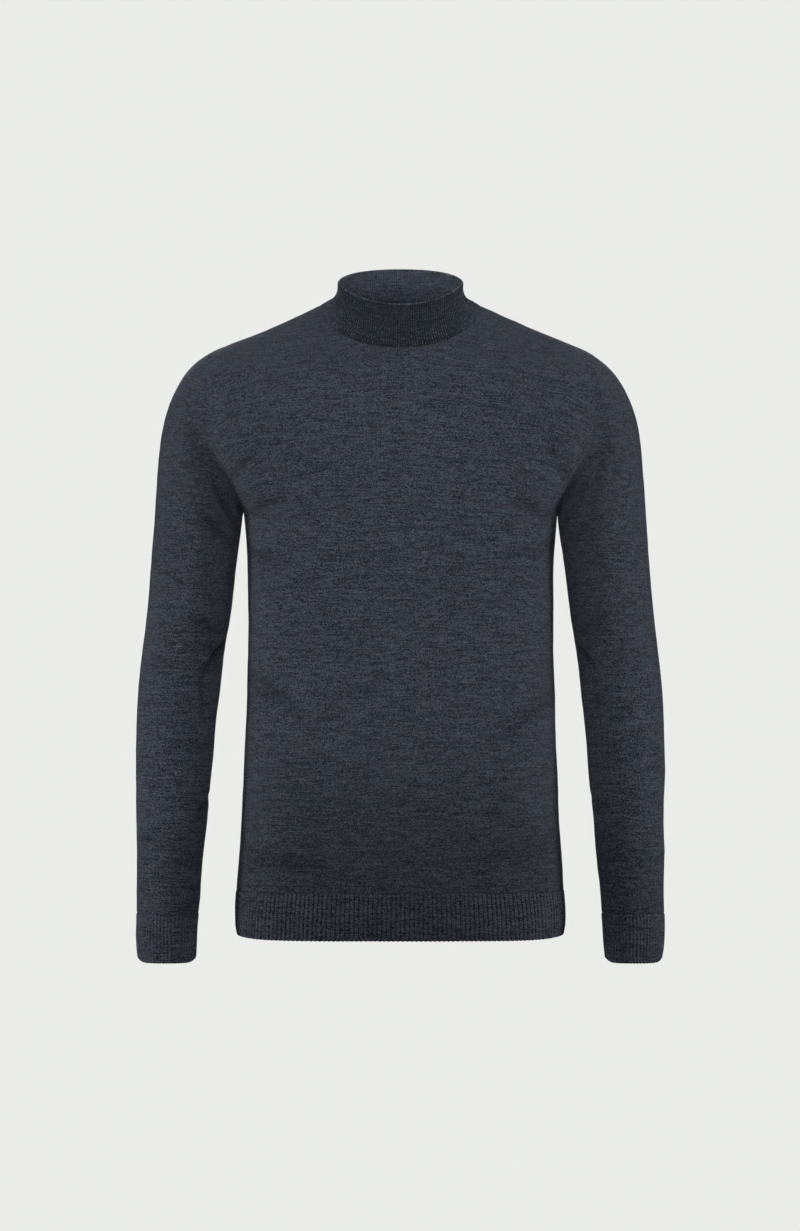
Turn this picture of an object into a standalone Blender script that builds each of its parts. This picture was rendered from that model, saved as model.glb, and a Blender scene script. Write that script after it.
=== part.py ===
"""Mock-neck sweater in fine wool knit, standing hollow in the form it has when worn.

Metres, +Z up, and the wearer would face -Y. The origin lies midway between the two high shoulder
points, at the height where the shoulders carry the garment. The cloth's outer face is one skin,
worked out from level sections of the body and from sections along the sleeve. The skin is parted
along the sewing lines, and each part becomes a wall of its own cloth.
"""

import math
from collections import namedtuple

import bmesh
import bpy
from mathutils import Vector

MM = 0.001

# Cloth: thickness of each knit, and the gap left between two pieces at a seam.
PLAIN_KNIT = 1.6 * MM
RIB_KNIT = 2.2 * MM
DOUBLE_RIB = 3.0 * MM
SEAM_GAP = 0.3 * MM
MOST_MITRE = 1.6

# Heather slate wool, as linear colour.
WOOL_COLOUR = (0.037, 0.043, 0.056, 1.0)
WOOL_ROUGHNESS = 0.92

# Facets: columns from the centre line to the side, on the front and on the back. FINE_STEPS is
# how finely a section's curve is divided before its columns are spaced evenly along it.
HALF_COLUMNS = 12
FINE_STEPS = 240

# A hem and a cuff rise a little where they turn the side.
SIDE_LIFT_POWER = 10

# Sections of the body, from the hem up, in millimetres. edge_x, edge_front and edge_back say where a
# panel ends: at the side seam (depth 0), on the armhole, or on the shoulder seam (depth 0). front and
# back are the depths on the centre line, and each depth's height is given too. square is the
# exponent of the section's curve: 2 is an ellipse, and more is boxier. The climbs say how soon a
# tilted section rises from the centre line to the side: 1 is a flat slope, and more is sooner.
Section = namedtuple(
    "Section",
    "edge_x edge_front edge_back edge_z front front_z back back_z square front_climb back_climb",
    defaults=(1.15, 1.15),
)
HEM_SECTIONS = [
    Section(176.0, 0, 0, -686.5, 105.0, -686.5, 107.0, -686.5, 3.2),
    Section(178.0, 0, 0, -672.0, 106.0, -672.0, 109.0, -672.0, 3.0),
    Section(178.4, 0, 0, -655.0, 106.0, -655.0, 109.5, -655.0, 2.85),
]
BODY_SECTIONS = [
    Section(177.6, 0, 0, -636.0, 105.5, -636.0, 109.5, -636.0, 2.7),
    Section(175.4, 0, 0, -600.0, 105.5, -600.0, 109.0, -600.0, 2.6),
    Section(172.4, 0, 0, -553.0, 105.0, -553.0, 104.0, -553.0, 2.5),
    Section(169.5, 0, 0, -503.0, 104.0, -503.0, 96.5, -503.0, 2.45),
    Section(167.2, 0, 0, -450.0, 103.0, -450.0, 90.0, -450.0, 2.4),
    Section(165.8, 0, 0, -397.0, 104.0, -397.0, 87.5, -397.0, 2.4),
    Section(165.6, 0, 0, -345.0, 107.0, -345.0, 89.5, -345.0, 2.4),
    Section(166.4, 0, 0, -298.0, 110.5, -298.0, 95.5, -298.0, 2.45),
    Section(167.8, 0, 0, -258.0, 113.5, -258.0, 101.5, -258.0, 2.6),
]
ARMHOLE_SECTIONS = [
    Section(169.8, 0.0, 0.0, -228.0, 115.0, -230.0, 106.0, -228.0, 2.8),
    Section(174.0, 28.0, 29.0, -219.0, 115.3, -219.0, 107.5, -217.0, 2.65),
    Section(182.5, 47.0, 49.0, -199.0, 115.0, -201.0, 110.5, -195.0, 2.5),
    Section(193.0, 59.0, 62.0, -170.0, 113.0, -178.0, 113.0, -165.0, 2.35),
    Section(202.5, 62.0, 66.0, -138.0, 108.5, -154.0, 113.5, -132.0, 2.25),
    Section(207.3, 56.5, 60.5, -106.0, 101.0, -130.0, 110.0, -100.0, 2.2),
    Section(208.3, 43.0, 46.0, -80.0, 93.0, -109.0, 103.5, -73.0, 2.2),
    Section(207.4, 23.0, 24.5, -61.5, 86.5, -94.0, 96.5, -56.0, 2.15),
]
SHOULDER_SECTIONS = [
    Section(205.5, 0, 0, -54.5, 82.0, -84.0, 91.0, -45.0, 2.15),
    Section(182.0, 0, 0, -44.0, 77.0, -75.5, 85.5, -36.0, 2.15),
    Section(157.5, 0, 0, -33.7, 73.0, -68.5, 80.5, -28.0, 2.15),
    Section(132.5, 0, 0, -23.2, 69.0, -62.0, 75.5, -20.5, 2.12),
    Section(108.0, 0, 0, -12.9, 65.5, -56.5, 71.0, -13.5, 2.1),
]
NECK_SECTION = Section(86.5, 0, 0, -2.6, 62.5, -50.5, 67.0, -7.0, 2.1)
COLLAR_SECTIONS = [
    Section(78.6, 0, 0, 1.8, 61.7, -43.5, 65.8, 0.0, 2.12),
    Section(71.6, 0, 0, 6.0, 61.4, -34.0, 64.6, 9.5, 2.15),
    Section(68.0, 0, 0, 13.0, 61.5, -19.5, 63.0, 25.0, 2.18, 1.35, 1.05),
    Section(67.4, 0, 0, 22.0, 62.0, -3.6, 61.5, 41.0, 2.2, 1.6, 1.0),
]
HEM_SIDE_LIFT = 3.0

# Sections along a sleeve, from the armhole to the cuff, in millimetres, for the sleeve at +X. outer and
# inner are the outline's two points as seen from the front. bow pushes the front and back middles
# of a section outwards, as the armhole's own edge is.
Sleeve = namedtuple("Sleeve", "outer_x outer_z inner_x inner_z middle_y half_depth bow")
SLEEVE_SECTIONS = [
    Sleeve(222.0, -66.3, 170.9, -231.5, 1.5, 64.5, 14.0),
    Sleeve(235.8, -81.0, 171.3, -236.0, 2.0, 64.5, 11.0),
    Sleeve(247.2, -101.0, 171.9, -241.5, 2.0, 64.0, 8.0),
    Sleeve(255.4, -125.0, 172.7, -248.5, 2.0, 63.0, 5.5),
    Sleeve(260.5, -153.0, 173.8, -257.0, 2.0, 61.5, 3.0),
    Sleeve(263.3, -184.0, 175.3, -268.5, 3.0, 60.0, 1.5),
    Sleeve(265.6, -218.0, 177.3, -284.0, 4.0, 58.5, 0.0),
    Sleeve(268.4, -256.0, 180.4, -306.0, 5.5, 57.0, 0.0),
    Sleeve(271.8, -300.0, 184.8, -338.0, 7.5, 55.0, 0.0),
    Sleeve(276.6, -346.0, 190.2, -374.0, 9.0, 52.5, 0.0),
    Sleeve(281.9, -391.0, 194.8, -410.0, 9.0, 50.0, 0.0),
    Sleeve(285.4, -435.0, 198.9, -447.0, 6.5, 47.0, 0.0),
    Sleeve(286.7, -480.0, 202.2, -487.0, 1.0, 44.0, 0.0),
    Sleeve(286.5, -527.0, 206.4, -531.0, -6.5, 40.5, 0.0),
    Sleeve(285.8, -574.0, 210.6, -575.0, -14.0, 37.5, 0.0),
    Sleeve(285.0, -614.0, 214.3, -614.0, -20.5, 34.8, 0.0),
    Sleeve(284.8, -638.0, 216.2, -638.0, -24.2, 33.2, 0.0),
]
CUFF_SECTIONS = [
    Sleeve(284.6, -660.0, 217.8, -660.0, -27.4, 31.8, 0.0),
    Sleeve(284.3, -678.0, 218.9, -678.0, -30.0, 30.8, 0.0),
    Sleeve(283.7, -696.0, 219.6, -696.0, -32.5, 30.1, 0.0),
    Sleeve(282.2, -712.5, 220.6, -712.5, -34.4, 29.6, 0.0),
]
CUFF_SIDE_LIFT = 5.0

FRONT, BACK = -1, 1
LEFT, RIGHT = 1, -1
ARM_PIECES = (b"sleeve", b"cuff")
PANELS = {
    "hem_rib": ("hem_rib_front", "hem_rib_back"),
    "body": ("front", "back"),
    "collar": ("collar", "collar"),
}


def run_out_width(section, edge_depth, middle_depth):
    """The half width that the section's curve would reach if it ran on to the side."""
    share = (edge_depth / middle_depth) ** section.square
    return section.edge_x / (1 - share) ** (1 / section.square)


def evenly(curve, count):
    """count + 1 points at equal distances along a finely divided curve, from its start to its end."""
    reach = [0.0]
    for a, b in zip(curve, curve[1:]):
        reach.append(reach[-1] + math.dist(a, b))
    points, k = [], 0
    for wanted in (reach[-1] * step / count for step in range(count + 1)):
        while k < len(curve) - 2 and reach[k + 1] < wanted:
            k += 1
        share = (wanted - reach[k]) / (reach[k + 1] - reach[k])
        points.append([p + (q - p) * share for p, q in zip(curve[k], curve[k + 1])])
    return points


def half_section(section, face, lift):
    """Points of a level section on one face of the body, from the centre line to its edge."""
    edge_depth, middle, middle_z, climb_power = (
        (section.edge_front, section.front, section.front_z, section.front_climb)
        if face == FRONT
        else (section.edge_back, section.back, section.back_z, section.back_climb)
    )
    width = run_out_width(section, edge_depth, middle)
    power = 2 / section.square
    last_swing = math.asin(min(1.0, (section.edge_x / width) ** (1 / power)))
    curve = []
    for k in range(FINE_STEPS + 1):
        swing = last_swing * k / FINE_STEPS
        depth = middle * max(0.0, math.cos(swing)) ** power
        curve.append((width * math.sin(swing) ** power, depth))
    curve[-1] = (section.edge_x, edge_depth)
    points = []
    for across, depth in evenly(curve, HALF_COLUMNS):
        climb = min(1.0, (middle - depth) / (middle - edge_depth))
        height = middle_z + (section.edge_z - middle_z) * (1 - (1 - climb) ** climb_power)
        height += lift * (across / width) ** SIDE_LIFT_POWER
        points.append(Vector((across, face * depth, height)) * MM)
    return points


def section_points(section, face, lift=0.0):
    """Points of a level section on one face of the body, from its right edge to its left."""
    left = half_section(section, face, lift)
    return [Vector((-p.x, p.y, p.z)) for p in left[:0:-1]] + left


def sleeve_point(section, side, turn, lift=0.0):
    """A point of a sleeve section. turn is 0 at its outer point, and grows over the front."""
    share = (1 + math.cos(turn)) / 2
    out = section.inner_x + (section.outer_x - section.inner_x) * share
    out += section.bow * math.sin(turn) ** 2
    height = section.inner_z + (section.outer_z - section.inner_z) * share
    height += lift * math.cos(turn) ** SIDE_LIFT_POWER
    return Vector((side * out, section.middle_y - section.half_depth * math.sin(turn), height)) * MM


class Skin:
    """The garment's outer face as one mesh, with every face marked with the piece it belongs to."""

    def __init__(self):
        self.mesh = bmesh.new()
        self.piece = self.mesh.faces.layers.string.new("piece")

    def ring(self, points):
        return [self.mesh.verts.new(p) for p in points]

    def strip(self, piece, low, high):
        """Faces between two rows of points. A face that would have no width is left out."""
        for a, b, c, d in zip(low, low[1:], high[1:], high):
            if len({a, b, c, d}) == 4:
                self.mesh.faces.new((a, b, c, d))[self.piece] = piece.encode()

    def tube(self, piece, low, high):
        self.strip(piece, [*low, low[0]], [*high, high[0]])


def level_ring(skin, section, lift=0.0):
    """A whole level section, as its front row and its back row, each from right to left."""
    front = skin.ring(section_points(section, FRONT, lift))
    back = section_points(section, BACK, lift)
    if section.edge_front:
        return front, skin.ring(back)
    return front, [front[0], *skin.ring(back[1:-1]), front[-1]]


def body_skin(skin):
    """Hem, front, back and collar. It returns each armhole's rows, from the underarm up."""
    levels = [("hem_rib", s) for s in HEM_SECTIONS]
    levels += [("body", s) for s in BODY_SECTIONS + ARMHOLE_SECTIONS + SHOULDER_SECTIONS]
    levels += [("collar", s) for s in [NECK_SECTION, *COLLAR_SECTIONS]]
    rings = [
        level_ring(skin, section, HEM_SIDE_LIFT if k == 0 else 0.0)
        for k, (_, section) in enumerate(levels)
    ]
    for (kind, _), low, high in zip(levels, rings, rings[1:]):
        front, back = PANELS[kind]
        skin.strip(front, low[0], high[0])
        skin.strip(back, low[1][::-1], high[1][::-1])
    first = len(HEM_SECTIONS + BODY_SECTIONS)
    return rings[first : first + len(ARMHOLE_SECTIONS) + 1]


def sleeve_skin(skin, side, armhole):
    """A sleeve and its cuff, from the armhole's own points down."""
    name = "left" if side == LEFT else "right"
    end = -1 if side == LEFT else 0
    front = [row[0][end] for row in armhole]
    back = [row[1][end] for row in armhole]
    above = [*front[::-1], *back[1:-1]]
    turns = [2 * math.pi * k / len(above) for k in range(len(above))]
    rows = [(f"sleeve_{name}", s) for s in SLEEVE_SECTIONS]
    rows += [(f"cuff_{name}", s) for s in CUFF_SECTIONS]
    upper_piece = f"sleeve_{name}"
    for piece, section in rows:
        lift = CUFF_SIDE_LIFT if section is CUFF_SECTIONS[-1] else 0.0
        below = skin.ring([sleeve_point(section, side, t, lift) for t in turns])
        if side == LEFT:
            skin.tube(upper_piece, below[::-1], above[::-1])
        else:
            skin.tube(upper_piece, below, above)
        above, upper_piece = below, piece


def inward(edge, face):
    """The direction in the face, square to its edge, that points into the face."""
    a, b = (v.co for v in edge.verts)
    along = (b - a).normalized()
    into = face.calc_center_median() - (a + b) / 2
    return (into - along * into.dot(along)).normalized()


def seam_shift(vert, faces):
    """How far a point steps back from the seams that it lies on, so that the pieces stay apart."""
    pulls = []
    for edge in vert.link_edges:
        own = [f for f in edge.link_faces if f in faces]
        if len(own) == 1 and len(edge.link_faces) == 2:
            pulls.append(inward(edge, own[0]))
    if not pulls:
        return Vector()
    together = sum(pulls, Vector()) / len(pulls)
    mitre = min(MOST_MITRE, 1 / max(0.1, together.length))
    return together.normalized() * mitre * SEAM_GAP / 2


def mean_normal(loops):
    return sum((loop.face.normal * loop.calc_angle() for loop in loops), Vector()).normalized()


def through_cloth(skin, vert, faces):
    """The step from a point of the outer face to the inner face, for a cloth of thickness 1.

    Pieces that meet share it, so that their seam is square. Under the arm the sleeve and the body
    lie back to back, and there each takes its own.
    """
    of_arm = {loop: loop.face[skin.piece].startswith(ARM_PIECES) for loop in vert.link_loops}
    own = next(of_arm[loop] for loop in vert.link_loops if loop.face in faces)
    mine = [loop for loop in vert.link_loops if of_arm[loop] == own]
    others = [loop for loop in vert.link_loops if of_arm[loop] != own]
    outward = mean_normal(mine)
    to_others = sum((loop.face.calc_center_median() - vert.co for loop in others), Vector())
    if outward.dot(to_others) <= 0:
        mine += others
        outward = mean_normal(mine)
    lean = sum(loop.face.normal.dot(outward) for loop in mine) / len(mine)
    return -outward * min(MOST_MITRE, 1 / max(0.1, lean))


def wall(skin, piece, thickness):
    """One piece of the garment: its share of the skin, made a wall of its cloth's thickness inwards."""
    faces = {f for f in skin.mesh.faces if f[skin.piece] == piece.encode()}
    out = bmesh.new()
    pairs = {}
    for vert in {v for f in faces for v in f.verts}:
        place = vert.co + seam_shift(vert, faces)
        inner = place + through_cloth(skin, vert, faces) * thickness
        pairs[vert] = (out.verts.new(place), out.verts.new(inner))
    for face in faces:
        out.faces.new([pairs[v][0] for v in face.verts])
        out.faces.new([pairs[v][1] for v in reversed(face.verts)])
        for loop in face.loops:
            if sum(f in faces for f in loop.edge.link_faces) == 1:
                a, b = loop.vert, loop.link_loop_next.vert
                out.faces.new((pairs[b][0], pairs[a][0], pairs[a][1], pairs[b][1]))
    return out


def wool(name, tint):
    """The knit's plain material; tint darkens it a little for ribs, which hold more shadow."""
    material = bpy.data.materials.new(name)
    material.use_nodes = True
    shader = material.node_tree.nodes["Principled BSDF"]
    shader.inputs["Base Color"].default_value = [c * tint for c in WOOL_COLOUR[:3]] + [1.0]
    shader.inputs["Roughness"].default_value = WOOL_ROUGHNESS
    shader.inputs["Metallic"].default_value = 0.0
    return material


def main():
    for obj in list(bpy.data.objects):
        bpy.data.objects.remove(obj)
    skin = Skin()
    armhole = body_skin(skin)
    for side in (LEFT, RIGHT):
        sleeve_skin(skin, side, armhole)
    bmesh.ops.triangulate(skin.mesh, faces=skin.mesh.faces[:], quad_method="SHORT_EDGE")
    skin.mesh.normal_update()

    plain, rib = wool("plain_knit", 1.0), wool("rib_knit", 0.9)
    pieces = [("front", PLAIN_KNIT, plain), ("back", PLAIN_KNIT, plain)]
    pieces += [(f"sleeve_{side}", PLAIN_KNIT, plain) for side in ("left", "right")]
    pieces += [(f"hem_rib_{face}", RIB_KNIT, rib) for face in ("front", "back")]
    pieces += [(f"cuff_{side}", RIB_KNIT, rib) for side in ("left", "right")]
    pieces += [("collar", DOUBLE_RIB, rib)]

    garment = bpy.data.objects.new("garment", None)
    bpy.context.scene.collection.objects.link(garment)
    for name, thickness, material in pieces:
        mesh = bpy.data.meshes.new(name)
        walled = wall(skin, name, thickness)
        walled.to_mesh(mesh)
        walled.free()
        mesh.materials.append(material)
        mesh.shade_smooth()
        mesh.set_sharp_from_angle(angle=math.radians(50))
        obj = bpy.data.objects.new(name, mesh)
        obj.parent = garment
        bpy.context.scene.collection.objects.link(obj)
    skin.mesh.free()


main()
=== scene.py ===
"""Looks of a mock-neck sweater in fine heather wool, standing hollow in the form it has when worn.

Every piece of cloth is made again here on its solid's form, finely enough for its ribs, seams and
creases. Lengths in the tables are in millimetres; the meshes are in metres.
"""

import math
from collections import namedtuple

import bmesh
import bpy
import numpy as np
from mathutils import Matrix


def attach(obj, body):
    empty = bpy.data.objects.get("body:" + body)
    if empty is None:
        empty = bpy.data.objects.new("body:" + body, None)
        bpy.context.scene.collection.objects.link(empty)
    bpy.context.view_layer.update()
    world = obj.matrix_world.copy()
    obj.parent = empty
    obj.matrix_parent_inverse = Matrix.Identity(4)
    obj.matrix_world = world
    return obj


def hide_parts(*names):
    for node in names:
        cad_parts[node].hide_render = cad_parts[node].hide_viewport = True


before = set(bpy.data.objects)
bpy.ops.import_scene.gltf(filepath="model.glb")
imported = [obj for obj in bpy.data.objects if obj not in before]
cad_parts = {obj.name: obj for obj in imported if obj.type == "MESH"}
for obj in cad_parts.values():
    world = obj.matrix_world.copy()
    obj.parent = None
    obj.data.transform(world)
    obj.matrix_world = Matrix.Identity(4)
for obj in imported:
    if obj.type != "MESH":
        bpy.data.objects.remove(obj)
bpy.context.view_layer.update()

MM = 0.001

# ---- The garment's form ----

# Level sections of the body. edge_x, edge_front and edge_back say where a panel ends: at the side
# seam (depth 0), on the armhole, or on the shoulder seam (depth 0). front and back are the depths
# on the centre line, and front_z and back_z the heights there. square is the exponent of the
# section's curve. The climbs say how soon a tilted section rises from the centre to the side.
Section = namedtuple(
    "Section",
    "edge_x edge_front edge_back edge_z front front_z back back_z square front_climb back_climb",
    defaults=(1.15, 1.15),
)
HEM_SECTIONS = [
    Section(176.0, 0, 0, -686.5, 105.0, -686.5, 107.0, -686.5, 3.2),
    Section(178.0, 0, 0, -672.0, 106.0, -672.0, 109.0, -672.0, 3.0),
    Section(178.4, 0, 0, -655.0, 106.0, -655.0, 109.5, -655.0, 2.85),
]
BODY_SECTIONS = [
    Section(177.6, 0, 0, -636.0, 105.5, -636.0, 109.5, -636.0, 2.7),
    Section(175.4, 0, 0, -600.0, 105.5, -600.0, 109.0, -600.0, 2.6),
    Section(172.4, 0, 0, -553.0, 105.0, -553.0, 104.0, -553.0, 2.5),
    Section(169.5, 0, 0, -503.0, 104.0, -503.0, 96.5, -503.0, 2.45),
    Section(167.2, 0, 0, -450.0, 103.0, -450.0, 90.0, -450.0, 2.4),
    Section(165.8, 0, 0, -397.0, 104.0, -397.0, 87.5, -397.0, 2.4),
    Section(165.6, 0, 0, -345.0, 107.0, -345.0, 89.5, -345.0, 2.4),
    Section(166.4, 0, 0, -298.0, 110.5, -298.0, 95.5, -298.0, 2.45),
    Section(167.8, 0, 0, -258.0, 113.5, -258.0, 101.5, -258.0, 2.6),
]
ARMHOLE_SECTIONS = [
    Section(169.8, 0.0, 0.0, -228.0, 115.0, -230.0, 106.0, -228.0, 2.8),
    Section(174.0, 28.0, 29.0, -219.0, 115.3, -219.0, 107.5, -217.0, 2.65),
    Section(182.5, 47.0, 49.0, -199.0, 115.0, -201.0, 110.5, -195.0, 2.5),
    Section(193.0, 59.0, 62.0, -170.0, 113.0, -178.0, 113.0, -165.0, 2.35),
    Section(202.5, 62.0, 66.0, -138.0, 108.5, -154.0, 113.5, -132.0, 2.25),
    Section(207.3, 56.5, 60.5, -106.0, 101.0, -130.0, 110.0, -100.0, 2.2),
    Section(208.3, 43.0, 46.0, -80.0, 93.0, -109.0, 103.5, -73.0, 2.2),
    Section(207.4, 23.0, 24.5, -61.5, 86.5, -94.0, 96.5, -56.0, 2.15),
]
SHOULDER_SECTIONS = [
    Section(205.5, 0, 0, -54.5, 82.0, -84.0, 91.0, -45.0, 2.15),
    Section(182.0, 0, 0, -44.0, 77.0, -75.5, 85.5, -36.0, 2.15),
    Section(157.5, 0, 0, -33.7, 73.0, -68.5, 80.5, -28.0, 2.15),
    Section(132.5, 0, 0, -23.2, 69.0, -62.0, 75.5, -20.5, 2.12),
    Section(108.0, 0, 0, -12.9, 65.5, -56.5, 71.0, -13.5, 2.1),
]
NECK_SECTION = Section(86.5, 0, 0, -2.6, 62.5, -50.5, 67.0, -7.0, 2.1)
COLLAR_SECTIONS = [
    Section(78.6, 0, 0, 1.8, 61.7, -43.5, 65.8, 0.0, 2.12),
    Section(71.6, 0, 0, 6.0, 61.4, -34.0, 64.6, 9.5, 2.15),
    Section(68.0, 0, 0, 13.0, 61.5, -19.5, 63.0, 25.0, 2.18, 1.35, 1.05),
    Section(67.4, 0, 0, 22.0, 62.0, -3.6, 61.5, 41.0, 2.2, 1.6, 1.0),
]
TRUNK = HEM_SECTIONS + BODY_SECTIONS + ARMHOLE_SECTIONS + SHOULDER_SECTIONS + [NECK_SECTION]
RIB_TOP = len(HEM_SECTIONS)
UNDERARM = RIB_TOP + len(BODY_SECTIONS)
SHOULDER_TIP = UNDERARM + len(ARMHOLE_SECTIONS)
NECK = len(TRUNK) - 1
HEM_SIDE_LIFT = 3.0

# Sections along the sleeve at +X, and on along its cuff, through the outermost and the innermost
# point of its outline. bow is how far its front and back bulge outwards from the line between them.
Sleeve = namedtuple("Sleeve", "outer_x outer_z inner_x inner_z middle_y half_depth bow")
SLEEVE_SECTIONS = [
    Sleeve(222.0, -66.3, 170.9, -231.5, 1.5, 64.5, 14.0),
    Sleeve(235.8, -81.0, 171.3, -236.0, 2.0, 64.5, 11.0),
    Sleeve(247.2, -101.0, 171.9, -241.5, 2.0, 64.0, 8.0),
    Sleeve(255.4, -125.0, 172.7, -248.5, 2.0, 63.0, 5.5),
    Sleeve(260.5, -153.0, 173.8, -257.0, 2.0, 61.5, 3.0),
    Sleeve(263.3, -184.0, 175.3, -268.5, 3.0, 60.0, 1.5),
    Sleeve(265.6, -218.0, 177.3, -284.0, 4.0, 58.5, 0.0),
    Sleeve(268.4, -256.0, 180.4, -306.0, 5.5, 57.0, 0.0),
    Sleeve(271.8, -300.0, 184.8, -338.0, 7.5, 55.0, 0.0),
    Sleeve(276.6, -346.0, 190.2, -374.0, 9.0, 52.5, 0.0),
    Sleeve(281.9, -391.0, 194.8, -410.0, 9.0, 50.0, 0.0),
    Sleeve(285.4, -435.0, 198.9, -447.0, 6.5, 47.0, 0.0),
    Sleeve(286.7, -480.0, 202.2, -487.0, 1.0, 44.0, 0.0),
    Sleeve(286.5, -527.0, 206.4, -531.0, -6.5, 40.5, 0.0),
    Sleeve(285.8, -574.0, 210.6, -575.0, -14.0, 37.5, 0.0),
    Sleeve(285.0, -614.0, 214.3, -614.0, -20.5, 34.8, 0.0),
    Sleeve(284.8, -638.0, 216.2, -638.0, -24.2, 33.2, 0.0),
]
CUFF_SECTIONS = [
    Sleeve(284.6, -660.0, 217.8, -660.0, -27.4, 31.8, 0.0),
    Sleeve(284.3, -678.0, 218.9, -678.0, -30.0, 30.8, 0.0),
    Sleeve(283.7, -696.0, 219.6, -696.0, -32.5, 30.1, 0.0),
    Sleeve(282.2, -712.5, 220.6, -712.5, -34.4, 29.6, 0.0),
]
CUFF_TOP = len(SLEEVE_SECTIONS) + 1
CUFF_END = CUFF_TOP + len(CUFF_SECTIONS) - 1
CUFF_SIDE_LIFT = 5.0
SIDE_LIFT_POWER = 10

# A sleeve's first rows bend so that they run on from the body's cloth. They do so by this share
# between the middle two of these heights of the armhole, over about this far down the sleeve.
SMOOTH_HEIGHTS = -214.0, -165.0, -125.0, -88.0
SMOOTH_SHARE = 0.75
SMOOTH_REACH = 30.0

FRONT, BACK = -1, 1
LEFT, RIGHT = 1, -1

# Cloth thickness, and how a piece ends at a seam: the lines of its mesh nearest the seam, and the
# groove that the turned edges leave there.
PLAIN_KNIT = 1.6
RIB_KNIT = 2.2
DOUBLE_RIB = 3.0
SEAM_LINES = (0.15, 0.7, 1.5, 2.7)
GROOVE_DEPTH = 0.45
GROOVE_WIDTH = 1.3
# The armhole is linked flat, and its groove is this much of the others'.
FLAT_SEAM = 0.3
# The neck seam's groove is this much of the others' at the sides of the neck. At the throat and the
# nape it is deeper by the other two, on a panel and on the collar, which stands proud there within
# this far of the centre line.
NECK_GROOVE = 0.5
PANEL_GROOVE_ADDED = 1.5
COLLAR_GROOVE_ADDED = 3.0
PROUD_HALF_WIDTH = 72.0

# How finely curves and rows are first divided, before their points are spaced evenly.
FINE_POINTS = 500
FINE_ROWS = 400


def through(points, at, closed=False):
    """Points of the smooth curve that passes through a list of points. at counts in list steps."""
    points = np.asarray(points, float)
    at = np.asarray(at, float)
    if closed:
        step = np.floor(at).astype(int)
        a, b, c, d = (points[(step + k) % len(points)] for k in (-1, 0, 1, 2))
    else:
        step = np.clip(np.floor(at).astype(int), 0, len(points) - 2)
        ends = 2 * points[0] - points[1], 2 * points[-1] - points[-2]
        padded = np.concatenate([ends[:1], points, ends[1:]])
        a, b, c, d = (padded[step + k] for k in range(4))
    t = (at - step).reshape(-1, *[1] * (points.ndim - 1))
    return b + t / 2 * (c - a + t * (2 * a - 5 * b + 4 * c - d + t * (3 * (b - c) + d - a)))


def travelled(points, axis=0):
    """How far each point of a line of points is along it, for every line on this axis."""
    steps = np.linalg.norm(np.diff(points, axis=axis), axis=-1)
    start = np.zeros_like(np.take(steps, [0], axis=axis))
    return np.concatenate([start, np.cumsum(steps, axis=axis)], axis=axis)


def mesh_lines(length, step, seam_at_start=True, seam_at_end=True):
    """Distances of a mesh's lines over a length: even, and close together at a seam."""
    start = np.array(SEAM_LINES if seam_at_start else (0.0,))
    end = length - np.array(SEAM_LINES if seam_at_end else (0.0,))[::-1]
    count = max(3, round((end[0] - start[-1]) / step) + 1)
    return np.concatenate([start, np.linspace(start[-1], end[0], count)[1:-1], end])


# The armhole's edge, from the underarm up the front to the shoulder tip and down the back.
ARMHOLE = np.array(
    [(s.edge_x, -s.edge_front, s.edge_z) for s in TRUNK[UNDERARM : SHOULDER_TIP + 1]]
    + [(s.edge_x, s.edge_back, s.edge_z) for s in TRUNK[SHOULDER_TIP - 1 : UNDERARM : -1]]
)


def half_line(edge, middle, middle_z, square, climb_power, across):
    """One face's section line from the centre to its edge, at shares of its length."""
    edge_x, edge_depth, edge_z = edge
    width = edge_x / (1 - (edge_depth / middle) ** square) ** (1 / square)
    power = 2 / square
    swing = np.linspace(0, math.asin(min(1, (edge_x / width) ** (1 / power))), FINE_POINTS)
    line = np.stack([width * np.sin(swing) ** power, middle * np.cos(swing) ** power], 1)
    line[-1] = edge_x, edge_depth
    reach = travelled(line)
    x, depth = (np.interp(across * reach[-1], reach, line[:, k]) for k in range(2))
    climb = np.clip((middle - depth) / (middle - edge_depth), 0, 1)
    z = middle_z + (edge_z - middle_z) * (1 - (1 - climb) ** climb_power)
    return np.stack([x, depth, z], 1), reach[-1]


def trunk_face(sections, face, rows, across):
    """Points of the body's or the collar's front or back. rows count in sections from the bottom.

    across holds shares from 0 at the centre to 1 at the edge. It also returns how far each point is
    from the centre line.
    """
    found = through([list(s) for s in sections], rows)
    points, from_centre = [], []
    for row, s in zip(rows, (Section(*f) for f in found)):
        middle, middle_z, climb = (
            (s.front, s.front_z, s.front_climb)
            if face == FRONT
            else (s.back, s.back_z, s.back_climb)
        )
        edge = s.edge_x, 0.0, s.edge_z
        if sections is TRUNK and UNDERARM < row < SHOULDER_TIP:
            turn = (row - UNDERARM) * -face
            x, y, z = through(ARMHOLE, [turn], closed=True)[0]
            edge = x, abs(y), z
        half, reach = half_line(edge, middle, middle_z, s.square, climb, across)
        if sections is TRUNK and row < 1:
            half[:, 2] += HEM_SIDE_LIFT * (1 - row) * (half[:, 0] / s.edge_x) ** SIDE_LIFT_POWER
        half[:, 1] *= face
        points.append(np.concatenate([half[:0:-1] * (-1, 1, 1), half]))
        from_centre.append(np.concatenate([-across[:0:-1], across]) * reach)
    return np.array(points), np.array(from_centre)


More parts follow.
